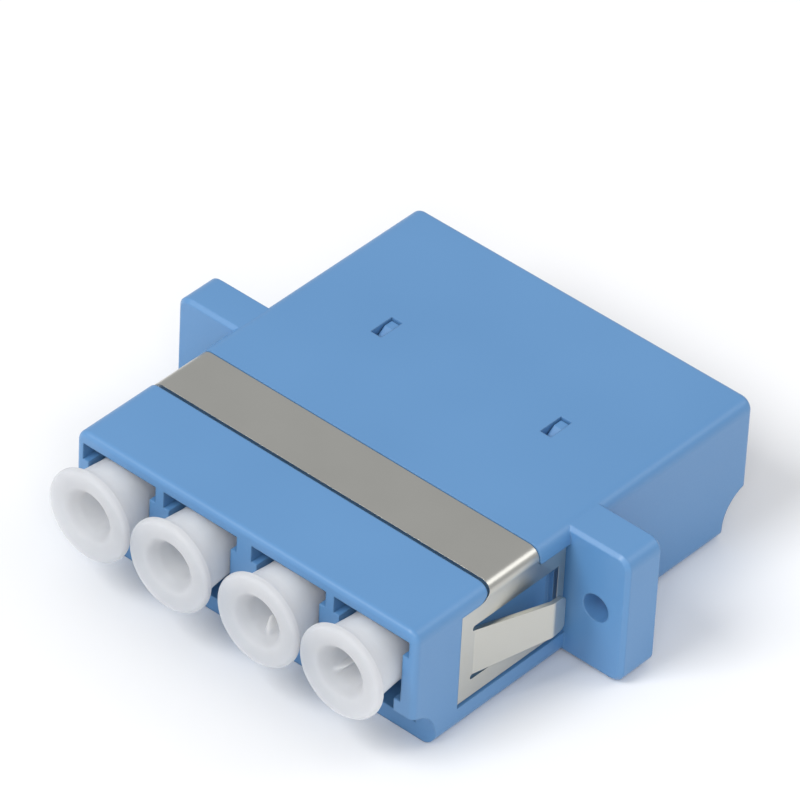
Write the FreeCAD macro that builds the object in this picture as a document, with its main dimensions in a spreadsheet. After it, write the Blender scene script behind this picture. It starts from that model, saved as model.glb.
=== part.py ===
"""LC fibre adapter: four ports in a row, two flange ears and a folded retaining clip.

Frame: millimetres, +Z up.  The origin is the middle of the housing's flat underside.
X runs across the four ports, and Y along the fibres, from the capped front (-Y) to the rear (+Y).

A moulded housing carries the four front ports.  Two duplex cores slide in from the rear and snap
into slots in the top wall.  Four split sleeves are held between the housing and the cores.
"""
import FreeCAD, Part
import math
import os
import Sketcher

V = FreeCAD.Vector

# ---------------------------------------------------------------------------------------------
# Driving dimensions: alias, millimetres, meaning
# ---------------------------------------------------------------------------------------------
DIMENSIONS = [
    ("port_pitch", 6.25, "between the two ports of a duplex pair"),
    ("divider", 0.62, "wall between the two mouths of a pair"),
    ("side_wall", 0.56, "wall on each side of a duplex pair"),
    ("channel_inset", 0.44, "walls of the plug channel, in from the walls of the mouth"),
    ("channel_squat", 0.15, "plug channel, width over height"),
    ("latch_inset", 0.475, "walls of the latch slot, in from the walls of the channel"),
    ("latch_height", 3.1, "latch slot, floor to shoulders"),
    ("top_wall", 0.8, "housing wall over the ports"),
    ("floor_wall", 0.9, "housing wall under the ports"),
    ("body_length", 29.25, "housing, front face to rear face"),
    ("body_edge", 0.8, "radius of the four long edges"),
    ("face_edge", 0.38, "radius round the front and rear faces"),
    ("mouth_depth", 3.1, "length of the wide mouth"),
    ("rib_drop", 1.15, "guide ribs in the mouths, below the top of the port"),
    ("relief_radius", 2.33, "finger relief under each end"),
    ("relief_out", 0.3, "relief centre beyond the end face"),
    ("relief_up", 0.8, "relief centre above the underside"),
    ("ear_reach", 4.3, "ears beyond the sides of the housing"),
    ("ear_thick", 3.0, "ears, along Y"),
    ("ear_lift", 0.1, "ears short of the housing's underside and of its top"),
    ("ear_corner", 0.87, "corner radius of the ears"),
    ("ear_edge", 0.25, "bevel round the faces of the ears"),
    ("hole_margin", 2.18, "ear holes, in from the ends of the ears"),
    ("hole_diameter", 1.85, "ear holes"),
    ("hook_slot_width", 0.8, "slots in the top wall, across"),
    ("hook_slot_length", 1.85, "slots in the top wall, along"),
    ("hook_slot_start", 3.75, "front end of the slots, behind the middle"),
    ("web_half", 1.2, "half the wall that carries the sleeves"),
    ("sleeve_inner", 1.25, "split sleeve, inside diameter"),
    ("sleeve_wall", 0.185, "split sleeve, wall"),
    ("sleeve_slit", 0.16, "slit in the split sleeve"),
    ("sleeve_play", 0.04, "radial clearance round the sleeve"),
    ("sleeve_end_play", 0.05, "sleeve to the lip at each end"),
    ("tube_diameter", 3.0, "sleeve holders, outside"),
    ("tube_reach", 3.8, "sleeve holders, from the middle"),
    ("tube_lip", 0.35, "end lip of the sleeve holders"),
    ("ferrule_play", 0.055, "radial clearance of a ferrule in the end lip"),
    ("sheet", 0.3, "thickness of the clip's steel"),
    ("clip_inset", 0.05, "clip below the housing's surface"),
    ("clip_bend", 0.5, "inside radius of the clip's two bends"),
    ("clip_play", 0.05, "clip to the edges of its recess"),
    ("strap_front", 8.32, "front edge of the strap, ahead of the middle"),
    ("strap_width", 4.15, "strap, along Y"),
    ("strap_gap", 0.28, "opening between the recess and the strap's front edge"),
    ("plate_nose", 2.4, "side plates ahead of the strap"),
    ("plate_clear", 0.32, "side plates short of the ears"),
    ("plate_bottom", 1.88, "lower edge of the side plates"),
    ("plate_gap", 0.25, "opening between the recess and the side plates' lower edge"),
    ("plate_drop_front", 1.1, "upper edge of the side plates ahead of the strap, below the top"),
    ("plate_drop_rear", 1.25, "upper edge of the side plates behind the strap, below the top"),
    ("fillet_front", 0.85, "inside corner where plate meets strap, ahead"),
    ("fillet_rear", 0.3, "inside corner where plate meets strap, behind"),
    ("rim_front", 1.17, "side plate ahead of the tongue's window"),
    ("rim_rear", 0.56, "side plate behind the window"),
    ("rim_low", 1.22, "side plate under the window"),
    ("rim_high", 1.1, "side plate over the window"),
    ("tongue_slit", 0.35, "gap each side of a tongue, round at its root"),
    ("tongue_flare", 1.46, "how far the tongues stand out"),
    ("tongue_run", 5.2, "length of the flared part, along Y"),
    ("tongue_bend", 0.6, "inside radius where the end turns"),
    ("tongue_lip", 1.05, "length of the turned end, along Y"),
    ("tongue_lip_turn", 0.05, "how far the turned end comes back in"),
    ("tongue_taper", 0.42, "narrowing of the tongue at its end, each side"),
    ("tongue_tip_corner", 0.4, "corner radius at the tongue's end"),
    ("pocket_length", 0.65, "deep pocket behind the tongue's end, along Y"),
    ("pocket_depth", 0.35, "deep pocket, below the recess floor"),
    ("core_play", 0.06, "clearance round the duplex cores"),
    ("core_recess", 0.35, "cores behind the rear face"),
    ("core_floor", 0.7, "floor of the duplex cores"),
    ("hook_side_play", 0.1, "snap hook to each side of its slot"),
    ("hook_end_play", 0.12, "snap hook to each end of its slot"),
    ("hook_crest", 0.6, "flat top of the snap hook, along Y"),
    ("hook_sink", 0.15, "snap hook below the housing's top"),
    ("hook_root", 0.6, "snap hook sunk into the core's divider"),
    ("cap_gap", 0.2, "between the flanges of neighbouring dust caps"),
    ("cap_reach", 2.7, "front of the flange, ahead of the housing"),
    ("cap_rim", 0.5, "thickness of the flange's rim"),
    ("cap_neck_step", 0.13, "neck over the stem, in radius"),
    ("cap_fit", 0.05, "cap to the top of the port, the front face and the sleeve holder's end"),
    ("cap_overlap", 1.1, "how far the stem reaches over the sleeve holder"),
    ("cap_bore_play", 0.12, "stem bore round the sleeve holder, all round"),
    ("cap_hole", 2.55, "front hole diameter"),
    ("cap_mouth", 3.5, "front hole diameter where it opens"),
    ("cap_funnel", 0.7, "length over which the hole narrows"),
    ("cap_web", 1.2, "wall between the front hole and the stem bore"),
]

doc = FreeCAD.newDocument("lc_fibre_adapter")
sheet = doc.addObject("Spreadsheet::Sheet", "sizes")
for row, (alias, value, meaning) in enumerate(DIMENSIONS, start=1):
    sheet.set(f"A{row}", meaning)
    sheet.set(f"B{row}", str(value))
    sheet.setAlias(f"B{row}", alias)
doc.recompute()


class Size:
    """A length that knows its value and the expression that gives it from the sheet."""

    def __init__(self, value, text):
        self.value = float(value)
        self.text = text

    @staticmethod
    def of(number):
        return number if isinstance(number, Size) else Size(number, f"{number:.6g}")

    def combine(self, other, sign, value):
        return Size(value, f"({self.text} {sign} {Size.of(other).text})")

    def __add__(self, other):
        return self.combine(other, "+", self.value + Size.of(other).value)

    def __sub__(self, other):
        return self.combine(other, "-", self.value - Size.of(other).value)

    def __mul__(self, other):
        return self.combine(other, "*", self.value * Size.of(other).value)

    def __truediv__(self, other):
        return self.combine(other, "/", self.value / Size.of(other).value)

    def __neg__(self):
        return self * -1


class Sizes:
    """Reads the sheet: s.port_pitch is the Size of the cell with that alias."""

    def __getattr__(self, alias):
        return Size(sheet.get(alias), f"{sheet.Name}.{alias}")


s = Sizes()
ZERO = Size(0, "0")


# ---------------------------------------------------------------------------------------------
# Places shared by the pieces
# ---------------------------------------------------------------------------------------------
mouth_width = s.port_pitch - s.divider
channel_width = mouth_width - s.channel_inset * 2
channel_height = channel_width - s.channel_squat
half_mouth = mouth_width / 2
half_channel = channel_width / 2
half_latch = half_channel - s.latch_inset
half_pair = s.port_pitch / 2 + half_mouth            # half the opening for one duplex pair
pair_centre = half_pair + s.side_wall
half_width = pair_centre * 2
half_length = s.body_length / 2
beyond = s.body_length * 2                           # a cut this long passes right through

shoulder_top = s.floor_wall + s.latch_height
port_axis = shoulder_top + channel_height / 2
port_top = shoulder_top + channel_height
body_height = port_top + s.top_wall
rib_high = port_top - s.rib_drop
port_centres = [
    -pair_centre - s.port_pitch / 2,
    -pair_centre + s.port_pitch / 2,
    pair_centre - s.port_pitch / 2,
    pair_centre + s.port_pitch / 2,
]

sleeve_outer = s.sleeve_inner + s.sleeve_wall * 2
sleeve_length = (s.tube_reach - s.tube_lip - s.sleeve_end_play) * 2
half_ear = s.ear_thick / 2

recess_floor = half_width - s.clip_inset - s.sheet   # X of the face that the side plates lie on
recess_top = body_height - s.clip_inset - s.sheet    # Z of the face that the strap lies on
strap_front = -s.strap_front
strap_rear = strap_front + s.strap_width
plate_front = strap_front - s.plate_nose
plate_rear = -half_ear - s.plate_clear
plate_top_front = body_height - s.plate_drop_front
plate_top_rear = body_height - s.plate_drop_rear
window_front = plate_front + s.rim_front
window_rear = plate_rear - s.rim_rear
window_low = s.plate_bottom + s.rim_low
window_high = plate_top_rear - s.rim_high


# ---------------------------------------------------------------------------------------------
# Small tools
# ---------------------------------------------------------------------------------------------
def bind(obj, name, size):
    """Set a property to a size and tie it to the sheet."""
    setattr(obj, name, Size.of(size).value)
    obj.setExpression(name, Size.of(size).text)


def new_body(label):
    body = doc.addObject("PartDesign::Body", label)
    body.Label = label
    return body


def origin_plane(body, role):
    return next(item for item in body.Origin.OriginFeatures if item.Role == role)


def new_sketch(body, name, role, offset=ZERO):
    """A sketch on an origin plane of the body, moved along the plane's normal by the offset.

    On XZ_Plane the normal is -Y, so a sketch at Y = y has the offset -y.
    """
    sketch = body.newObject("Sketcher::SketchObject", name)
    sketch.AttachmentSupport = [(origin_plane(body, role), "")]
    sketch.MapMode = "FlatFace"
    sketch.AttachmentOffset = FreeCAD.Placement(V(0, 0, offset.value), FreeCAD.Rotation())
    sketch.setExpression(".AttachmentOffset.Base.z", offset.text)
    return sketch


def fix(sketch, geo, point, across, up):
    """Tie one point of a sketch to its origin by two sizes."""
    for kind, size in (("DistanceX", across), ("DistanceY", up)):
        size = Size.of(size)
        number = sketch.addConstraint(Sketcher.Constraint(kind, -1, 1, geo, point, size.value))
        sketch.setExpression(f"Constraints[{number}]", size.text)


def outline(sketch, corners):
    """Close a loop through corners (across, up) or (across, up, radius), going round once.

    A corner with a radius becomes an arc.  Its centre and ends are worked out from the corner,
    the way to its neighbours and the radius, so each arc starts where the solver leaves it.
    """
    count = len(corners)
    points = [V(Size.of(c[0]).value, Size.of(c[1]).value, 0) for c in corners]
    ends = []
    for i, corner in enumerate(corners):
        if len(corner) == 2:
            ends.append((points[i], points[i], None))
            continue
        back = (points[i - 1] - points[i]).normalize()
        ahead = (points[(i + 1) % count] - points[i]).normalize()
        half_turn = back.getAngle(ahead) / 2
        radius = corner[2].value
        reach = radius / math.tan(half_turn)
        centre = points[i] + (back + ahead).normalize() * (radius / math.sin(half_turn))
        ends.append((points[i] + back * reach, points[i] + ahead * reach, centre))
    lines = []
    for i in range(count):
        line = Part.LineSegment(ends[i][1], ends[(i + 1) % count][0])
        lines.append(sketch.addGeometry(line, False))
    for i, corner in enumerate(corners):
        before, after = lines[i - 1], lines[i]
        if len(corner) == 2:
            sketch.addConstraint(Sketcher.Constraint("Coincident", before, 2, after, 1))
            fix(sketch, after, 1, corner[0], corner[1])
            continue
        first, second, centre = ends[i]
        anticlockwise = (first - centre).cross(second - centre).z > 0
        start, stop = (first, second) if anticlockwise else (second, first)
        low = math.atan2(start.y - centre.y, start.x - centre.x)
        high = math.atan2(stop.y - centre.y, stop.x - centre.x)
        if high < low:
            high += 2 * math.pi
        full = Part.Circle(centre, V(0, 0, 1), corner[2].value)
        arc = sketch.addGeometry(Part.ArcOfCircle(full, low, high), False)
        near, far = (1, 2) if anticlockwise else (2, 1)
        sketch.addConstraint(Sketcher.Constraint("Tangent", before, 2, arc, near))
        sketch.addConstraint(Sketcher.Constraint("Tangent", after, 1, arc, far))
        number = sketch.addConstraint(Sketcher.Constraint("Radius", arc, corner[2].value))
        sketch.setExpression(f"Constraints[{number}]", corner[2].text)
        apex = sketch.addGeometry(Part.Point(points[i]), True)
        fix(sketch, apex, 1, corner[0], corner[1])
        sketch.addConstraint(Sketcher.Constraint("PointOnObject", apex, 1, before))
        sketch.addConstraint(Sketcher.Constraint("PointOnObject", apex, 1, after))


def circle(sketch, across, up, radius):
    centre = V(Size.of(across).value, Size.of(up).value, 0)
    geo = sketch.addGeometry(Part.Circle(centre, V(0, 0, 1), radius.value), False)
    number = sketch.addConstraint(Sketcher.Constraint("Radius", geo, radius.value))
    sketch.setExpression(f"Constraints[{number}]", radius.text)
    fix(sketch, geo, 3, across, up)


def rectangle(sketch, left, right, low, high):
    outline(sketch, [(left, low), (right, low), (right, high), (left, high)])


def extrude(body, kind, sketch, length, midplane=False, backwards=False):
    """Pad or pocket a sketch.  A pad follows the plane's normal and a pocket goes against it."""
    feature = body.newObject(f"PartDesign::{kind}", f"{sketch.Name}_{kind.lower()}")
    feature.Profile = sketch
    feature.Midplane = midplane
    feature.Reversed = backwards
    bind(feature, "Length", length)
    sketch.Visibility = False
    return feature


def mirror_x(body, features):
    """Repeat features on the other side of the YZ plane."""
    mirrored = body.newObject("PartDesign::Mirrored", f"{features[0].Name}_mirrored")
    mirrored.Originals = features
    mirrored.MirrorPlane = (origin_plane(body, "YZ_Plane"), [""])
    body.Tip = mirrored
    return mirrored


def finish_edges(body, kind, name, size, wanted):
    """Fillet or chamfer the edges of the body's tip that the test `wanted` picks."""
    doc.recompute()
    base = body.Tip
    names = [f"Edge{i}" for i, edge in enumerate(base.Shape.Edges, start=1) if wanted(edge)]
    feature = body.newObject(f"PartDesign::{kind}", name)
    feature.Base = (base, names)
    bind(feature, "Radius" if kind == "Fillet" else "Size", size)
    return feature


def all_at_y(edge, places):
    """True where the whole edge lies in one of the planes Y = place."""
    box = edge.BoundBox
    return any(abs(box.YMin - y) < 1e-4 and abs(box.YMax - y) < 1e-4 for y in places)


# ---------------------------------------------------------------------------------------------
# Port openings, shared by the housing's front and the cores' rear
# ---------------------------------------------------------------------------------------------
def cut_ports(body, tag, centres, top, floor, face, depth, rear):
    """Cut ports side by side: mouths that widen over two guide ribs, then plug channels.

    `face` is the Y of the ports' faces, `depth` the full depth to the web, and `rear` is True for
    ports that open towards +Y.
    """
    inner_face = face - s.mouth_depth if rear else face + s.mouth_depth
    mouths = new_sketch(body, f"mouths_{tag}", "XZ_Plane", -face)
    channels = new_sketch(body, f"channels_{tag}", "XZ_Plane", -face)
    latches = new_sketch(body, f"latch_spaces_{tag}", "XZ_Plane", -inner_face)
    for centre in centres:
        outline(mouths, [
            (centre - half_mouth, top),
            (centre - half_mouth, rib_high),
            (centre - half_channel, rib_high),
            (centre - half_channel, shoulder_top),
            (centre - half_latch, shoulder_top),
            (centre - half_latch, floor),
            (centre + half_latch, floor),
            (centre + half_latch, shoulder_top),
            (centre + half_channel, shoulder_top),
            (centre + half_channel, rib_high),
            (centre + half_mouth, rib_high),
            (centre + half_mouth, top),
        ])
        rectangle(channels, centre - half_channel, centre + half_channel, shoulder_top, top)
        rectangle(latches, centre - half_channel, centre + half_channel, floor, shoulder_top)
    extrude(body, "Pocket", mouths, s.mouth_depth, backwards=rear)
    extrude(body, "Pocket", channels, depth, backwards=rear)
    extrude(body, "Pocket", latches, depth - s.mouth_depth, backwards=rear)


def add_sleeve_holders(body, tag, centres, rear):
    """Tubes that stand on the web, bored for the split sleeves, with an end lip."""
    tubes = new_sketch(body, f"tubes_{tag}", "XZ_Plane")
    bores = new_sketch(body, f"sleeve_bores_{tag}", "XZ_Plane")
    lips = new_sketch(body, f"ferrule_holes_{tag}", "XZ_Plane")
    for centre in centres:
        circle(tubes, centre, port_axis, s.tube_diameter / 2)
        circle(bores, centre, port_axis, sleeve_outer / 2 + s.sleeve_play)
        circle(lips, centre, port_axis, s.sleeve_inner / 2 + s.ferrule_play)
    extrude(body, "Pad", tubes, s.tube_reach, backwards=rear)
    extrude(body, "Pocket", bores, s.tube_reach - s.tube_lip, backwards=not rear)
    extrude(body, "Pocket", lips, s.tube_reach, backwards=not rear)


def cut_finger_reliefs(body, tag, faces):
    """Concave reliefs across the underside at the given ends, faces as (Y, outward sign)."""
    relief = new_sketch(body, f"finger_relief_{tag}", "YZ_Plane")
    for face, outward in faces:
        circle(relief, face + s.relief_out * outward, s.relief_up, s.relief_radius)
    extrude(body, "Pocket", relief, beyond, midplane=True)


# ---------------------------------------------------------------------------------------------
# Housing
# ---------------------------------------------------------------------------------------------
def make_housing():
    body = new_body("housing")
    ears = new_sketch(body, "ears", "XZ_Plane")
    half_span = half_width + s.ear_reach
    ear_top = body_height - s.ear_lift
    outline(ears, [
        (-half_span, s.ear_lift, s.ear_corner),
        (half_span, s.ear_lift, s.ear_corner),
        (half_span, ear_top, s.ear_corner),
        (-half_span, ear_top, s.ear_corner),
    ])
    extrude(body, "Pad", ears, s.ear_thick, midplane=True)
    ear_faces = [half_ear.value, -half_ear.value]
    finish_edges(body, "Chamfer", "ear_edges", s.ear_edge, lambda edge: all_at_y(edge, ear_faces))

    section = new_sketch(body, "section", "XZ_Plane")
    outline(section, [
        (-half_width, ZERO, s.body_edge),
        (half_width, ZERO, s.body_edge),
        (half_width, body_height, s.body_edge),
        (-half_width, body_height, s.body_edge),
    ])
    extrude(body, "Pad", section, s.body_length, midplane=True)
    end_faces = [half_length.value, -half_length.value]
    finish_edges(body, "Fillet", "end_edges", s.face_edge, lambda edge: all_at_y(edge, end_faces))

    holes = new_sketch(body, "ear_holes", "XZ_Plane")
    for side in (-1, 1):
        circle(holes, (half_span - s.hole_margin) * side, body_height / 2, s.hole_diameter / 2)
    extrude(body, "Pocket", holes, beyond, midplane=True)

    cut_clip_recess(body)
    cut_ports(body, "front", port_centres, port_top, s.floor_wall, -half_length,
              half_length - s.web_half, rear=False)
    add_sleeve_holders(body, "front", port_centres, rear=False)

    cavities = new_sketch(body, "core_cavities", "XZ_Plane")
    slots = new_sketch(body, "hook_slots", "XY_Plane", body_height)
    for side in (-1, 1):
        middle = pair_centre * side
        rectangle(cavities, middle - half_pair, middle + half_pair, s.floor_wall, port_top)
        rectangle(slots, middle - s.hook_slot_width / 2, middle + s.hook_slot_width / 2,
                  s.hook_slot_start, s.hook_slot_start + s.hook_slot_length)
    extrude(body, "Pocket", cavities, beyond)
    extrude(body, "Pocket", slots, s.top_wall)
    cut_finger_reliefs(body, "ends", [(-half_length, -1), (half_length, 1)])
    return body


def cut_clip_recess(body):
    """The channel that the folded clip lies in: round the top, and down both sides."""
    front = strap_front - s.strap_gap
    rear = strap_rear + s.clip_play
    low = s.plate_bottom - s.plate_gap
    corner = s.clip_bend + s.clip_play / 2
    ring = new_sketch(body, "strap_channel", "XZ_Plane", -(front + rear) / 2)
    outline(ring, [
        (-beyond, low),
        (-recess_floor, low),
        (-recess_floor, recess_top, corner),
        (recess_floor, recess_top, corner),
        (recess_floor, low),
        (beyond, low),
        (beyond, beyond),
        (-beyond, beyond),
    ])
    extrude(body, "Pocket", ring, rear - front, midplane=True)

    side = new_sketch(body, "side_recess", "YZ_Plane", recess_floor)
    outline(side, [
        (plate_front - s.clip_play, low),
        (-half_ear, low),
        (-half_ear, plate_top_rear + s.clip_play),
        (rear, plate_top_rear + s.clip_play, s.fillet_rear - s.clip_play),
        (rear, beyond),
        (front, beyond),
        (front, plate_top_front + s.clip_play, s.fillet_front - s.clip_play),
        (plate_front - s.clip_play, plate_top_front + s.clip_play),
    ])
    right = extrude(body, "Pocket", side, beyond, backwards=True)
    pocket = new_sketch(body, "tongue_pocket", "YZ_Plane", recess_floor - s.pocket_depth)
    rectangle(pocket, window_rear - s.pocket_length, window_rear, window_low, window_high)
    deep = extrude(body, "Pocket", pocket, beyond, backwards=True)
    mirror_x(body, [right, deep])


# ---------------------------------------------------------------------------------------------
# Duplex cores
# ---------------------------------------------------------------------------------------------
def make_core(label, side):
    body = new_body(label)
    middle = pair_centre * side
    half = half_pair - s.core_play
    low = s.floor_wall + s.core_play
    high = port_top - s.core_play
    rear_face = half_length - s.core_recess
    block = new_sketch(body, f"{label}_block", "XZ_Plane")
    rectangle(block, middle - half, middle + half, low, high)
    extrude(body, "Pad", block, rear_face, backwards=True)

    centres = [middle - s.port_pitch / 2, middle + s.port_pitch / 2]
    cut_ports(body, label, centres, high, low + s.core_floor, rear_face,
              rear_face - s.web_half, rear=True)
    add_sleeve_holders(body, label, centres, rear=True)
    cut_finger_reliefs(body, label, [(half_length, 1)])

    hook = new_sketch(body, f"{label}_hook", "YZ_Plane", middle)
    lead = s.hook_slot_start + s.hook_end_play
    catch = s.hook_slot_start + s.hook_slot_length - s.hook_end_play
    crest = body_height - s.hook_sink
    outline(hook, [
        (lead, high - s.hook_root),
        (catch, high - s.hook_root),
        (catch, crest),
        (catch - s.hook_crest, crest),
        (lead, high),
    ])
    extrude(body, "Pad", hook, s.hook_slot_width - s.hook_side_play * 2, midplane=True)
    return body


# ---------------------------------------------------------------------------------------------
# Split sleeves
# ---------------------------------------------------------------------------------------------
def make_sleeve(number, centre):
    label = f"split_sleeve_{number}"
    outer = doc.addObject("Part::Cylinder", f"{label}_outer")
    inner = doc.addObject("Part::Cylinder", f"{label}_inner")
    slit = doc.addObject("Part::Box", f"{label}_slit")
    bind(outer, "Radius", sleeve_outer / 2)
    bind(inner, "Radius", s.sleeve_inner / 2)
    bind(outer, "Height", sleeve_length)
    bind(inner, "Height", sleeve_length)
    bind(slit, "Length", s.sleeve_slit)
    bind(slit, "Width", sleeve_outer)
    bind(slit, "Height", sleeve_length)
    slit.setExpression(".Placement.Base.x", (-s.sleeve_slit / 2).text)
    tools = doc.addObject("Part::MultiFuse", f"{label}_tools")
    tools.Shapes = [inner, slit]
    sleeve = doc.addObject("Part::Cut", label)
    sleeve.Base = outer
    sleeve.Tool = tools
    sleeve.Label = label
    sleeve.Placement = FreeCAD.Placement(V(0, 0, 0), FreeCAD.Rotation(V(1, 0, 0), 90))
    sleeve.setExpression(".Placement.Base.x", centre.text)
    sleeve.setExpression(".Placement.Base.y", (sleeve_length / 2).text)
    sleeve.setExpression(".Placement.Base.z", port_axis.text)
    return sleeve


# ---------------------------------------------------------------------------------------------
# Retaining clip
# ---------------------------------------------------------------------------------------------
def make_clip():
    body = new_body("retaining_clip")
    outside = recess_floor + s.sheet
    over = recess_top + s.sheet
    fold = new_sketch(body, "fold", "XZ_Plane", -(plate_front + plate_rear) / 2)
    outline(fold, [
        (-outside, s.plate_bottom),
        (-recess_floor, s.plate_bottom),
        (-recess_floor, recess_top, s.clip_bend),
        (recess_floor, recess_top, s.clip_bend),
        (recess_floor, s.plate_bottom),
        (outside, s.plate_bottom),
        (outside, over, s.clip_bend + s.sheet),
        (-outside, over, s.clip_bend + s.sheet),
    ])
    extrude(body, "Pad", fold, plate_rear - plate_front, midplane=True)

    trim = new_sketch(body, "strap_trim", "YZ_Plane")
    outline(trim, [
        (-beyond, plate_top_front),
        (strap_front, plate_top_front, s.fillet_front),
        (strap_front, beyond),
        (-beyond, beyond),
    ])
    outline(trim, [
        (strap_rear, plate_top_rear, s.fillet_rear),
        (beyond, plate_top_rear),
        (beyond, beyond),
        (strap_rear, beyond),
    ])
    extrude(body, "Pocket", trim, beyond, midplane=True)

    window = new_sketch(body, "windows", "YZ_Plane")
    rectangle(window, window_front, window_rear, window_low, window_high)
    extrude(body, "Pocket", window, beyond, midplane=True)
    ends = new_sketch(body, "slit_ends", "YZ_Plane")
    half_slit = s.tongue_slit / 2
    for height in (window_low + half_slit, window_high - half_slit):
        circle(ends, window_front, height, half_slit)
    extrude(body, "Pocket", ends, beyond, midplane=True)
    add_tongues(body)
    return body


def add_tongues(body):
    """Sprung tongues: bent strips rooted at the front of each window, flared towards the ears."""
    inside = recess_floor
    bend = window_front + s.tongue_run
    tip = bend + s.tongue_lip
    far_in = inside + s.tongue_flare
    tip_in = far_in - s.tongue_lip_turn
    strip = new_sketch(body, "tongue_bend", "XY_Plane", (window_low + window_high) / 2)
    outline(strip, [
        (inside, window_front),
        (far_in, bend, s.tongue_bend),
        (tip_in, tip),
        (tip_in + s.sheet, tip),
        (far_in + s.sheet, bend, s.tongue_bend + s.sheet),
        (inside + s.sheet, window_front),
    ])
    width = window_high - window_low - s.tongue_slit * 2
    tongue = extrude(body, "Pad", strip, width, midplane=True)
    mirror_x(body, [tongue])

    shape = new_sketch(body, "tongue_outline", "YZ_Plane")
    low = window_low + s.tongue_slit
    high = window_high - s.tongue_slit
    outline(shape, [
        (window_front, low),
        (tip, low + s.tongue_taper, s.tongue_tip_corner),
        (tip, high - s.tongue_taper, s.tongue_tip_corner),
        (window_front, high),
        (window_front, window_high),
        (window_rear, window_high),
        (window_rear, window_low),
        (window_front, window_low),
    ])
    extrude(body, "Pocket", shape, beyond, midplane=True)


# ---------------------------------------------------------------------------------------------
# Dust caps
# ---------------------------------------------------------------------------------------------
def make_cap(number, centre):
    """A turned profile about the port axis: across is the radius and up is Y from the front face."""
    label = f"dust_cap_{number}"
    body = new_body(label)
    flange_radius = (s.port_pitch - s.cap_gap) / 2
    stem_radius = port_top - port_axis - s.cap_fit
    neck_radius = stem_radius + s.cap_neck_step
    bore_radius = s.tube_diameter / 2 + s.cap_bore_play
    front = -s.cap_reach
    stem_end = half_length - s.tube_reach + s.cap_overlap
    bore_end = half_length - s.tube_reach - s.cap_fit
    hole_bottom = bore_end - s.cap_web
    profile = new_sketch(body, f"{label}_profile", "XY_Plane")
    outline(profile, [
        (ZERO, hole_bottom),
        (s.cap_hole / 2, hole_bottom),
        (s.cap_hole / 2, front + s.cap_funnel),
        (s.cap_mouth / 2, front),
        (flange_radius, front),
        (flange_radius, front + s.cap_rim),
        (neck_radius, front + s.cap_rim),
        (neck_radius, -s.cap_fit),
        (stem_radius, -s.cap_fit),
        (stem_radius, stem_end),
        (bore_radius, stem_end),
        (bore_radius, bore_end),
        (ZERO, bore_end),
    ])
    turned = body.newObject("PartDesign::Revolution", f"{label}_turned")
    turned.Profile = profile
    turned.ReferenceAxis = (profile, ["V_Axis"])
    turned.Angle = 360.0
    profile.Visibility = False
    body.setExpression(".Placement.Base.x", centre.text)
    body.setExpression(".Placement.Base.y", (-half_length).text)
    body.setExpression(".Placement.Base.z", port_axis.text)
    return body


# ---------------------------------------------------------------------------------------------
# Build, check and write
# ---------------------------------------------------------------------------------------------
pieces = [make_housing(), make_clip(), make_core("duplex_core_left", -1),
          make_core("duplex_core_right", 1)]
for number, centre in enumerate(port_centres, start=1):
    pieces.append(make_sleeve(number, centre))
    pieces.append(make_cap(number, centre))
doc.recompute()

for item in doc.Objects:
    if "Invalid" in item.State or "Error" in item.State:
        raise RuntimeError(f"{item.Label}: {item.State}")
for piece in pieces:
    if piece.Shape.isNull() or not piece.Shape.isValid():
        raise RuntimeError(f"{piece.Label}: no valid shape")
    if len(piece.Shape.Solids) != 1:
        raise RuntimeError(f"{piece.Label}: {len(piece.Shape.Solids)} solids")

os.makedirs("parts", exist_ok=True)
for piece in pieces:
    piece.Shape.exportStep(f"parts/{piece.Label}.step")
    box = piece.Shape.BoundBox
    print(f"{piece.Label}: {piece.Shape.Volume:.2f} mm3, X {box.XMin:.2f} {box.XMax:.2f},"
          f" Y {box.YMin:.2f} {box.YMax:.2f}, Z {box.ZMin:.2f} {box.ZMax:.2f}")
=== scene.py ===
# %% [markdown]
# # A four-port fibre adapter
#
# The object is a small moulded block, 34.6 mm over its ears, that joins four pairs of fibre
# plugs. A folded steel clip holds it in a panel, and four soft dust caps close its front.
#
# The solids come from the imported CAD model, which is the frame: they are never moved, and they
# only get better materials here. The dust caps are made again, because a soft moulding has
# rounded edges, a tapered hole and a small rib that the plain solids leave out.
#
# Blender measures in metres and this script thinks in millimetres, so one function turns
# millimetres into metres and another turns them back.

# %% Load the frame
import math

import bpy
import numpy as np
from mathutils import Matrix, Vector


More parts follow.
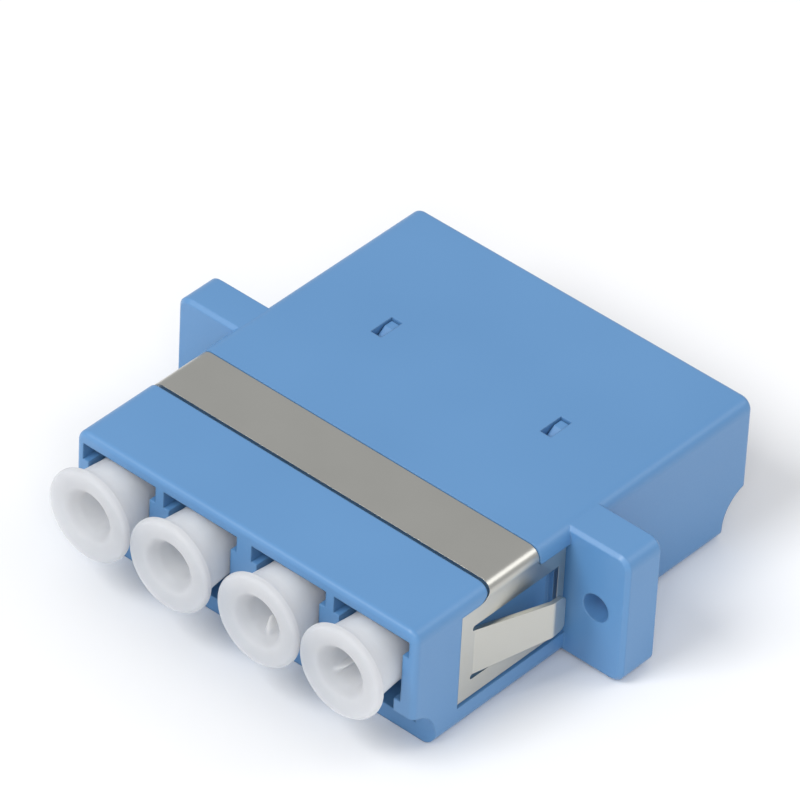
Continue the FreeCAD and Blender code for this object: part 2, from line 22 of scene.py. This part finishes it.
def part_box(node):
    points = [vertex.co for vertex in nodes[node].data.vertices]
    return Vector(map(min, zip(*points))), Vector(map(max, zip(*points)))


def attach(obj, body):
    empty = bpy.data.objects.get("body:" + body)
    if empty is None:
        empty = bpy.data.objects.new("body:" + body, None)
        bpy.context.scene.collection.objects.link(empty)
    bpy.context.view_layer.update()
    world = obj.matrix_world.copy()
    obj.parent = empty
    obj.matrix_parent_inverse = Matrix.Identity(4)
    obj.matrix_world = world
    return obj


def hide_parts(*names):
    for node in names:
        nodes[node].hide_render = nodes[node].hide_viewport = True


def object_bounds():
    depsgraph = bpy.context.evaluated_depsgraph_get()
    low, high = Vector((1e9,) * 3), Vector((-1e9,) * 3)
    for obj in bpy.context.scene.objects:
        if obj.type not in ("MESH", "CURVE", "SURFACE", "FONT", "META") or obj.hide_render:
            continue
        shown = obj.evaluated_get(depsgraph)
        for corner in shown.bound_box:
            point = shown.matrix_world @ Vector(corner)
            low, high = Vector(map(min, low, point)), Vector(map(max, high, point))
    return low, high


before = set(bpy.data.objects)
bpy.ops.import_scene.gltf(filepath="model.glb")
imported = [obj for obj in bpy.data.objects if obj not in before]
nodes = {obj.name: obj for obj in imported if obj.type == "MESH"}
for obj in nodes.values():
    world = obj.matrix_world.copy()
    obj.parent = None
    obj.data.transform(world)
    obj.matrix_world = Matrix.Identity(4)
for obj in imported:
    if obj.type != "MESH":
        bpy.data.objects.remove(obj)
cad_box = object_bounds()


def mm(value):
    """Millimetres to metres."""
    return value / 1000


def in_mm(metres):
    """Metres to millimetres."""
    return metres * 1000


def per_mm(size):
    """Scale of a pattern whose repeat is that many millimetres, in Object coordinates."""
    return 1 / mm(size)


print("CAD box:", [tuple(round(in_mm(c), 2) for c in corner) for corner in cad_box])

# %% [markdown]
# ## Surfaces worked out as whole arrays
#
# A piece that was turned or moulded round an axis could be made with Blender's Spin tool, but
# then its corners would still need bevels. Here the shape is a grid of points worked out by
# numpy: one way along the grid follows the profile, and the other goes round the axis. Every
# corner of the profile is a true arc, so the soft edges of the moulding are there from the start.

# %% Mesh from a grid
ARC_STEP = math.radians(9)     # a rounded corner has about one point for each such turn
ARC_POINTS = 3                 # and never fewer than these


def one_pole_each(grid):
    """A list of a grid's points in which the first row and the last are one point each."""
    rings = grid[1:-1].reshape(-1, *grid.shape[2:])
    return np.concatenate([grid[0, :1], rings, grid[-1, :1]])


def grid_mesh(name, points, material, body):
    """A closed mesh from an array of shape (rows, columns, 3), with a pole at either end.

    The rows between the poles are rings, whose columns close round the axis. Quad (i, j) joins
    the points (i, j), (i+1, j), (i+1, j+1) and (i, j+1), where j+1 wraps round, and that order
    makes it face outwards. A fan of triangles joins each end ring to its pole.
    """
    rings, columns = points.shape[0] - 2, points.shape[1]
    index = 1 + np.arange(rings * columns).reshape(rings, columns)
    ahead = np.roll(index, -1, axis=1)
    quads = np.stack([index[:-1], index[1:], ahead[1:], ahead[:-1]], axis=-1).reshape(-1, 4)
    first_pole = np.zeros(columns, int)
    last_pole = first_pole + rings * columns + 1
    fans = np.concatenate([np.stack([first_pole, index[0], ahead[0]], axis=-1),
                           np.stack([index[-1], last_pole, ahead[-1]], axis=-1)])
    mesh = bpy.data.meshes.new(name)
    mesh.from_pydata(one_pole_each(points).tolist(), [], quads.tolist() + fans.tolist())
    mesh.polygons.foreach_set("use_smooth", np.ones(len(mesh.polygons), bool))
    mesh.materials.append(material)
    mesh.update()
    piece = bpy.data.objects.new(name, mesh)
    bpy.context.scene.collection.objects.link(piece)
    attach(piece, body)
    return piece


def rounded_profile(corners, step):
    """A smooth profile through corners (radius from the axis, distance along it, rounding).

    Each rounded corner is an arc that touches both of its straight neighbours. Its ends lie
    rounding / tan(half the corner's angle) from the corner, and its centre lies
    rounding / sin(half the angle) from it, on the line that halves the angle. The straight runs
    between are divided into equal parts no longer than the step.
    """
    places = np.array([corner[:2] for corner in corners])
    path = [places[:1]]
    for before, here, after, rounding in zip(places, places[1:], places[2:],
                                             [corner[2] for corner in corners[1:]]):
        back = (before - here) / np.linalg.norm(before - here)
        ahead = (after - here) / np.linalg.norm(after - here)
        half_angle = math.acos(float(np.clip(back @ ahead, -1, 1))) / 2
        halving = (back + ahead) / np.linalg.norm(back + ahead)
        centre = here + halving * rounding / math.sin(half_angle)
        start = here + back * rounding / math.tan(half_angle) - centre
        sweep = math.pi - 2 * half_angle
        turn = math.copysign(sweep, start[0] * (-halving[1]) + start[1] * halving[0])
        angles = np.linspace(0, turn, max(ARC_POINTS, int(sweep / ARC_STEP)))[:, None]
        across = np.array([-start[1], start[0]])
        path.append(centre + start * np.cos(angles) + across * np.sin(angles))
    path.append(places[-1:])
    runs = []
    for first, second in zip(path, path[1:]):
        length = np.linalg.norm(second[0] - first[-1])
        share = np.linspace(0, 1, max(2, int(length / step) + 2))[:, None]
        runs.append(first)
        runs.append((first[-1] * (1 - share) + second[0] * share)[1:-1])
    runs.append(path[-1])
    return np.concatenate(runs)


# %% [markdown]
# ## Colours and nodes
#
# Colours are easiest to pick as the hex values that a screen shows. Blender's shaders work in
# linear light, so each hex value goes through the sRGB curve once. Materials are built from
# nodes by one small function that adds a node, sets its values and makes its links.

# %% Colour


def linear(hex_colour):
    """An sRGB hex colour as linear red, green, blue and alpha.

    Below 0.04045 a channel is divided by 12.92, and above it ((c + 0.055) / 1.055) ** 2.4.
    """
    channels = np.array([int(hex_colour[i:i + 2], 16) for i in (1, 3, 5)]) / 255
    curve = np.where(channels <= 0.04045, channels / 12.92, ((channels + 0.055) / 1.055) ** 2.4)
    return (*curve.tolist(), 1.0)


# %% Nodes, and the material they are added to


def add(tree, kind, settings=None, values=None, links=None):
    """Add a node: settings are its properties, values its sockets, links {socket: output}."""
    node = tree.nodes.new(kind)
    for name, value in (settings or {}).items():
        setattr(node, name, value)
    for socket, value in (values or {}).items():
        node.inputs[socket].default_value = value
    for socket, output in (links or {}).items():
        tree.links.new(output, node.inputs[socket])
    return node


def new_material(name, values):
    """An empty material with a Principled shader; returns the material, its tree and shader."""
    material = bpy.data.materials.new(name)
    material.use_nodes = True
    tree = material.node_tree
    tree.nodes.clear()
    shader = add(tree, "ShaderNodeBsdfPrincipled", values=values)
    add(tree, "ShaderNodeOutputMaterial", links={"Surface": shader.outputs["BSDF"]})
    return material, tree, shader


# %% A pattern of a given size
NOISE_SPAN = {"From Min": 0.3, "From Max": 0.7}    # nearly all values of a noise lie between


def mottle(tree, blob_mm, detail=2.0, roughness=0.5, stretch=(1.0, 1.0, 1.0)):
    """A mottled pattern on Object coordinates whose blobs are that many millimetres across.

    A stretch over 1 makes the blobs that much longer along its axis.
    """
    place = add(tree, "ShaderNodeTexCoord")
    stretched = add(tree, "ShaderNodeMapping", values={"Scale": [1 / s for s in stretch]},
                    links={"Vector": place.outputs["Object"]})
    return add(tree, "ShaderNodeTexNoise",
               values={"Scale": per_mm(blob_mm), "Detail": detail, "Roughness": roughness},
               links={"Vector": stretched.outputs["Vector"]})


# %% A finish for CAD nodes


def dress(node_names, material):
    """Give CAD nodes one finish in place of their plain one."""
    for name in node_names:
        slots = nodes[name].data.materials
        slots.clear()
        slots.append(material)
    print(f"{material.name}:", ", ".join(node_names))


# %% [markdown]
# ## Moulded PBT
#
# The housing is injection-moulded PBT, a stiff polyester that takes a spark-eroded mould's
# finish: an even satin with a very fine grain, no pores and no fibres. The eye reads it by three
# things. The colour drifts a little where the melt cooled at different speeds, the gloss is
# broken up by the grain, and every edge carries a small radius that catches the light. The real
# grain is a few hundredths of a millimetre across, too fine to show, so it is drawn at 0.12 mm.
# The Bevel node rounds the shading of the sharp CAD edges without touching the mesh.

# %% Plastic of the housing and its cores


def moulded_pbt(name, colour, deep_colour, edge_mm):
    """Satin moulded PBT: a slow drift of colour, a fine grain, and softened edges."""
    material, tree, shader = new_material(
        name, {"IOR": 1.55, "Specular IOR Level": 0.5})
    drift = mottle(tree, blob_mm=9.0, detail=1.0)
    share = add(tree, "ShaderNodeMapRange", values={**NOISE_SPAN, "To Min": 0.35, "To Max": 1.0},
                links={"Value": drift.outputs["Fac"]})
    tint = add(tree, "ShaderNodeMix", {"data_type": "RGBA"},
               {"A": linear(deep_colour), "B": linear(colour)},
               {"Factor": share.outputs["Result"]})
    tree.links.new(tint.outputs["Result"], shader.inputs["Base Color"])
    grain = mottle(tree, blob_mm=0.12, detail=3.0, roughness=0.6)
    gloss = add(tree, "ShaderNodeMapRange", values={**NOISE_SPAN, "To Min": 0.32, "To Max": 0.42},
                links={"Value": grain.outputs["Fac"]})
    tree.links.new(gloss.outputs["Result"], shader.inputs["Roughness"])
    soft_edge = add(tree, "ShaderNodeBevel", {"samples": 6}, {"Radius": mm(edge_mm)})
    relief = add(tree, "ShaderNodeBump", values={"Strength": 0.12, "Distance": mm(0.01)},
                 links={"Height": grain.outputs["Fac"], "Normal": soft_edge.outputs["Normal"]})
    tree.links.new(relief.outputs["Normal"], shader.inputs["Normal"])
    return material


BLUE, DEEP_BLUE = "#5E90C1", "#598BBC"
housing_plastic = moulded_pbt("moulded PBT, blue", BLUE, DEEP_BLUE, edge_mm=0.15)
core_plastic = moulded_pbt("moulded PBT, blue core", BLUE, DEEP_BLUE, edge_mm=0.1)
dress(["housing"], housing_plastic)
dress(["duplex_core_left", "duplex_core_right"], core_plastic)

# %% [markdown]
# ## Nickel-plated spring steel
#
# The clip is stamped and folded from thin spring steel and plated with nickel. Nickel is a metal
# with a slightly warm grey reflection. The strip was rolled before it was stamped, so it carries
# very fine streaks along the rolling direction, across the adapter. A metal's look is mostly
# what it mirrors, and the streaks blur that mirror more across them than along them.

# %% Steel of the clip


def plated_spring_steel():
    """Nickel-plated steel with rolling streaks along X."""
    material, tree, shader = new_material("nickel-plated spring steel", {"Metallic": 1.0})
    cloud = mottle(tree, blob_mm=4.0)
    tint = add(tree, "ShaderNodeMix", {"data_type": "RGBA"},
               {"A": linear("#BFBEB7"), "B": linear("#C7C6BF")},
               {"Factor": cloud.outputs["Fac"]})
    tree.links.new(tint.outputs["Result"], shader.inputs["Base Color"])
    streak = mottle(tree, blob_mm=0.05, detail=3.0, roughness=0.6, stretch=(40.0, 1.0, 1.0))
    gloss = add(tree, "ShaderNodeMapRange", values={**NOISE_SPAN, "To Min": 0.28, "To Max": 0.32},
                links={"Value": streak.outputs["Fac"]})
    tree.links.new(gloss.outputs["Result"], shader.inputs["Roughness"])
    soft_edge = add(tree, "ShaderNodeBevel", {"samples": 6}, {"Radius": mm(0.05)})
    relief = add(tree, "ShaderNodeBump", values={"Strength": 0.05, "Distance": mm(0.003)},
                 links={"Height": streak.outputs["Fac"], "Normal": soft_edge.outputs["Normal"]})
    tree.links.new(relief.outputs["Normal"], shader.inputs["Normal"])
    return material


dress(["retaining_clip"], plated_spring_steel())

# %% [markdown]
# ## Zirconia
#
# The split sleeves that line up the ferrules are ground from zirconia, a dense white ceramic
# with a high refractive index, so even a thin ring shows a bright, hard gloss. They sit deep in
# the ports and show only as a pale ring there.

# %% Ceramic of the sleeves


def ground_zirconia():
    """Ground zirconia: ivory white, hard gloss, faint grinding lines along Y."""
    material, tree, shader = new_material(
        "ground zirconia", {"IOR": 2.1, "Specular IOR Level": 0.5})
    lines = mottle(tree, blob_mm=0.08, stretch=(1.0, 6.0, 1.0))
    tint = add(tree, "ShaderNodeMix", {"data_type": "RGBA"},
               {"A": linear("#EDEAE0"), "B": linear("#F6F4EC")},
               {"Factor": lines.outputs["Fac"]})
    tree.links.new(tint.outputs["Result"], shader.inputs["Base Color"])
    gloss = add(tree, "ShaderNodeMapRange", values={**NOISE_SPAN, "To Min": 0.10, "To Max": 0.18},
                links={"Value": lines.outputs["Fac"]})
    tree.links.new(gloss.outputs["Result"], shader.inputs["Roughness"])
    return material


dress([name for name in nodes if name.startswith("split_sleeve")], ground_zirconia())

# %% [markdown]
# ## Soft polyethylene
#
# The dust caps are moulded from natural low-density polyethylene. It has no pigment, so light
# goes a little way into it and comes out again: shadows inside the hole stay pale, and thin
# edges glow. Subsurface scattering does part of that. The rest is painted light. An attribute
# that each cap carries lightens the colour towards white inside the hole, on the neck behind the
# rim and on the rib, a painted glow that makes them brighter than the lamps do. Its surface is
# waxy, with a wide soft highlight.

# %% Polyethylene of the dust caps
PAINTED_GLOW = "painted_glow"    # a cap's own attribute of painted glow, 1 where the colour is lightened fully to white


def natural_polyethylene():
    """Unpigmented polyethylene: milky, with scattered light and a waxy gloss."""
    material, tree, shader = new_material("moulded polyethylene, natural", {
        "IOR": 1.51, "Specular IOR Level": 0.4, "Subsurface Weight": 1.0,
        "Subsurface Radius": (1.0, 0.95, 0.9), "Subsurface Scale": mm(6.0)})
    milk = mottle(tree, blob_mm=2.5)
    tint = add(tree, "ShaderNodeMix", {"data_type": "RGBA"},
               {"A": linear("#AEB0B4"), "B": linear("#B6B8BB")},
               {"Factor": milk.outputs["Fac"]})
    # painted glow: the cap's attribute mixes the colour towards near-white, painted light in the
    # hole, on the neck and on the rib
    painted_glow_node = add(tree, "ShaderNodeAttribute", {"attribute_name": PAINTED_GLOW})
    glow = add(tree, "ShaderNodeMix", {"data_type": "RGBA"}, {"B": linear("#F2F4F6")},
               {"A": tint.outputs["Result"], "Factor": painted_glow_node.outputs["Fac"]})
    tree.links.new(glow.outputs["Result"], shader.inputs["Base Color"])
    wax = mottle(tree, blob_mm=0.3, detail=3.0)
    gloss = add(tree, "ShaderNodeMapRange", values={**NOISE_SPAN, "To Min": 0.5, "To Max": 0.6},
                links={"Value": wax.outputs["Fac"]})
    tree.links.new(gloss.outputs["Result"], shader.inputs["Roughness"])
    relief = add(tree, "ShaderNodeBump", values={"Strength": 0.08, "Distance": mm(0.02)},
                 links={"Height": wax.outputs["Fac"]})
    tree.links.new(relief.outputs["Normal"], shader.inputs["Normal"])
    return material


polyethylene = natural_polyethylene()
print("polyethylene is ready")

# %% [markdown]
# ## Dust caps
#
# A dust cap is a thin-walled plug: a broad flange to pull on, a neck that flares into it, and a
# stem that goes into the port and over the sleeve holder. It could be spun from a curve and
# bevelled. It is worked out as one closed surface instead, so that the flare, the rolled rim and
# the tapered hole flow into each other as they do on the moulding. The cap turns freely in the
# round of its port, so each one stopped at its own angle, which shows in the place of the rib
# that the mould leaves inside the hole.

# %% Sizes of a dust cap, in millimetres
FACE_DISH = 0.1            # the front face falls this much towards the hole
RIM_THICKNESS = 0.45
RIM_ROUND = 0.28
RIM_BACK_ROUND = 0.12
FLARE_LENGTH = 1.15        # the back of the flange slopes down to the neck by this depth
FLARE_ROUND = 1.5
NECK_SPREAD = 0.17         # the neck is this much wider than the stem at the end of the flare
NECK_RUN = 0.4             # the neck narrows to the stem this far inside the port
NECK_ROUND = 3.0
STEM_RADIUS = 2.25

HOLE_MOUTH = 1.75          # radius of the front hole where it opens
HOLE_NECK = 1.28           # radius where its funnel ends
HOLE_END = 1.2             # radius at its bottom
FUNNEL_LENGTH = 0.8
HOLE_MOUTH_ROUND = 0.4
HOLE_END_ROUND = 0.25
WEB_THICKNESS = 1.2        # between the hole's bottom and the bore at the other end

HOLDER_RADIUS = 1.5        # the sleeve holder that the bore slides over
BORE_PLAY = 0.12           # the bore round it
BORE_RADIUS = HOLDER_RADIUS + BORE_PLAY
BORE_DEPTH = 1.15
EDGE_ROUND = 0.06          # of the stem's end and its bore

PROFILE_STEP = 0.3         # longest step along the profile
ROUND_STEPS = 160          # steps round the axis


def cap_profile(flange, front, port_front, end):
    """The cap's half section, as rows of radius and distance along the axis.

    It starts in the middle of the hole's bottom, comes out over the front face and the rim,
    goes back along the neck and the stem, and ends in the middle of the bore's bottom.
    """
    bore_bottom = end - BORE_DEPTH
    hole_bottom = bore_bottom - WEB_THICKNESS
    return rounded_profile([
        (0.0, hole_bottom, 0.0),
        (HOLE_END, hole_bottom, HOLE_END_ROUND),
        (HOLE_NECK, front + FUNNEL_LENGTH, HOLE_MOUTH_ROUND),
        (HOLE_MOUTH, front + FACE_DISH, HOLE_MOUTH_ROUND),
        (flange, front, RIM_ROUND),
        (flange, front + RIM_THICKNESS, RIM_BACK_ROUND),
        (STEM_RADIUS + NECK_SPREAD, front + FLARE_LENGTH, FLARE_ROUND),
        (STEM_RADIUS, port_front + NECK_RUN, NECK_ROUND),
        (STEM_RADIUS, end, EDGE_ROUND),
        (BORE_RADIUS, end, EDGE_ROUND),
        (BORE_RADIUS, bore_bottom, EDGE_ROUND),
        (0.0, bore_bottom, 0.0),
    ], PROFILE_STEP)


# %% The rib in the hole
RIB_HEIGHT = 0.95
RIB_WIDTH = 0.3
RIB_START = 0.8            # depth of the front end of the rib
RIB_RAMP = 0.3             # it rises to its height over this length
RIB_DEGREES = {"dust_cap_1": 30, "dust_cap_2": 60, "dust_cap_3": 276, "dust_cap_4": 222}


def rib_share(depth, in_hole, angle, rib_degrees):
    """How much of the rib's height stands at each point of the grid, from 0 to 1.

    Round the axis it is exp(-(distance from the middle of the rib / half its width) ** 4), a
    ridge with a flat top and soft sides. Along the hole it grows from 0 to 1 over the ramp.
    """
    from_rib = np.angle(np.exp(1j * (angle - math.radians(rib_degrees))))    # within half a turn
    ridge = np.exp(-(from_rib * HOLE_END / (RIB_WIDTH / 2)) ** 4)
    ramp = np.clip((depth - RIB_START) / RIB_RAMP, 0, 1)
    return ridge * (in_hole * ramp)


# %% Where the painted glow goes
NECK_GLOW = 0.5            # painted glow on the neck
RIM_GLOW_START = 0.3       # depth where the neck's glow begins, behind the rim
HOLE_GLOW = 0.55           # painted glow on the wall round the hole
MOUTH_GLOW_START = 0.5     # depth where the hole's glow begins
MOUTH_GLOW_RUN = 2.0       # and the length over which it grows
RIB_GLOW = 0.25            # painted highlight added on the rib


def wall_glow(depth, in_hole):
    """The attribute of painted glow along the profile, before the rib adds to it.

    It grows in a straight line behind the mouth of the hole, and outside behind the rim.
    """
    past_mouth = np.clip((depth - MOUTH_GLOW_START) / MOUTH_GLOW_RUN, 0, 1)
    past_rim = np.clip((depth - RIM_GLOW_START) / FLARE_LENGTH, 0, 1)
    return np.where(in_hole, HOLE_GLOW * past_mouth, NECK_GLOW * past_rim)


# %% The four caps


def dust_cap(name, rib_degrees):
    """One dust cap, worked out about the axis of its CAD node.

    The point at profile distance u and angle a is axis + (r(u) cos a, y(u), r(u) sin a). Where
    the rib stands, r(u) shrinks by the share of the hole's radius that the rib takes up, on the
    wall and the bottom alike, so that no ring of the bottom folds over the next.
    """
    low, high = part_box(name)
    centre_x = in_mm(low.x + high.x) / 2
    centre_z = in_mm(low.z + high.z) / 2
    flange = in_mm(high.x - low.x) / 2
    front = in_mm(low.y)
    profile = cap_profile(flange, front, in_mm(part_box("housing")[0].y), in_mm(high.y))
    radius, along = profile[:, :1], profile[:, 1:]
    angle = np.linspace(0, 2 * math.pi, ROUND_STEPS, endpoint=False)[None, :]
    in_hole = np.arange(len(profile))[:, None] < np.argmin(along)
    rib = rib_share(along - front, in_hole, angle, rib_degrees)
    reach = radius * (1 - RIB_HEIGHT / HOLE_END * rib)
    points = np.stack([
        centre_x + reach * np.cos(angle),
        np.broadcast_to(along, reach.shape),
        centre_z + reach * np.sin(angle),
    ], axis=-1)
    piece = grid_mesh(f"{name}_moulding", mm(points), polyethylene, name.replace("dust_", ""))
    # painted glow for the hole and the neck, and a painted highlight along the rib
    painted_glow = wall_glow(along - front, in_hole) + RIB_GLOW * rib
    values = piece.data.attributes.new(PAINTED_GLOW, "FLOAT", "POINT")
    values.data.foreach_set("value", one_pole_each(painted_glow))
    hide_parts(name)
    return piece


caps = [dust_cap(name, rib_degrees) for name, rib_degrees in RIB_DEGREES.items()]
print("dust caps:", len(caps), "with", len(caps[0].data.polygons), "faces each")

# %% [markdown]
# ## Floor, light and camera
#
# Small parts look their best in a light tent: the light comes softly from every side, a little
# more from above, and the ground is so bright that shadows nearly vanish. A bright even world
# does most of that. A large key light above the front brightens the top and its front edge, and
# a weaker fill light from the right keeps the right side from going dull. A third and weakest
# light stands behind on the right, where the rounded right-hand edges mirror it, so it draws
# them as soft bright lines.
#
# The standard view transform shows each colour as it is, with no film curve.

# %% Floor and tent
FLOOR_SIZE = 3000          # millimetres
FLOOR_DROP = 0.02          # millimetres under the object, so that no two faces coincide
TENT_STRENGTH = 0.6

floor_z = cad_box[0].z - mm(FLOOR_DROP)
bpy.ops.mesh.primitive_plane_add(size=mm(FLOOR_SIZE), location=(0, 0, floor_z))
floor = bpy.context.object
floor.name = "pale_floor"
paper = new_material("pale studio paper", {"Base Color": linear("#FAFAFA"), "Roughness": 0.9})[0]
floor.data.materials.append(paper)

bpy.context.scene.view_settings.view_transform = "Standard"
world = bpy.data.worlds.new("light tent")
bpy.context.scene.world = world
world.use_nodes = True
tent = world.node_tree.nodes["Background"].inputs
tent["Color"].default_value = linear("#FBFCFF")
tent["Strength"].default_value = TENT_STRENGTH
print("floor at", round(in_mm(floor_z), 2), "mm")

# %% Lights


def soft_box(name, place_mm, size_mm, watts):
    """A square area light at a place, turned to the middle of the object."""
    light = bpy.data.lights.new(name, "AREA")
    light.shape = "SQUARE"
    light.size = mm(size_mm)
    light.energy = watts
    lamp = bpy.data.objects.new(name, light)
    place = Vector([mm(c) for c in place_mm])
    lamp.location = place
    lamp.rotation_euler = (-place).to_track_quat("-Z", "Y").to_euler()
    bpy.context.scene.collection.objects.link(lamp)
    print(f"{name}: {watts} W at {place_mm} mm")


soft_box("key soft box", place_mm=(-120, -380, 460), size_mm=260, watts=1.9)
soft_box("fill soft box", place_mm=(300, -360, 380), size_mm=200, watts=0.65)
soft_box("edge soft box", place_mm=(300, 365, 385), size_mm=260, watts=0.38)

# %% Camera
CAMERA_DISTANCE = 453.2             # millimetres from the point it aims at
CAMERA_TURN = 39.7                  # degrees from straight ahead towards the right ear
CAMERA_RISE = 39.13                 # degrees above the horizon
CAMERA_ROLL = 3.04
CAMERA_LENS = 358.15                # millimetres, a long lens, for nearly parallel edges
CAMERA_SENSOR = 36                  # millimetres
CAMERA_NEAR, CAMERA_FAR = 10, 5000  # millimetres, the range that it sees
CAMERA_AIM = (0.32, -1.97, 11.71)   # millimetres, the point in the middle of the view

turn, rise = math.radians(CAMERA_TURN), math.radians(CAMERA_RISE)
away = Vector((math.sin(turn) * math.cos(rise), -math.cos(turn) * math.cos(rise), math.sin(rise)))
camera_data = bpy.data.cameras.new("camera")
camera_data.lens = CAMERA_LENS
camera_data.sensor_width = CAMERA_SENSOR
camera_data.clip_start = mm(CAMERA_NEAR)
camera_data.clip_end = mm(CAMERA_FAR)
camera = bpy.data.objects.new("camera", camera_data)
aim = Vector([mm(c) for c in CAMERA_AIM])
camera.location = aim + away * mm(CAMERA_DISTANCE)
look = (-away).to_track_quat("-Z", "Y").to_matrix().to_4x4()
camera.rotation_euler = (look @ Matrix.Rotation(math.radians(CAMERA_ROLL), 4, "Z")).to_euler()
bpy.context.scene.collection.objects.link(camera)
bpy.context.scene.camera = camera
print("camera at", [round(in_mm(c), 1) for c in camera.location], "mm")
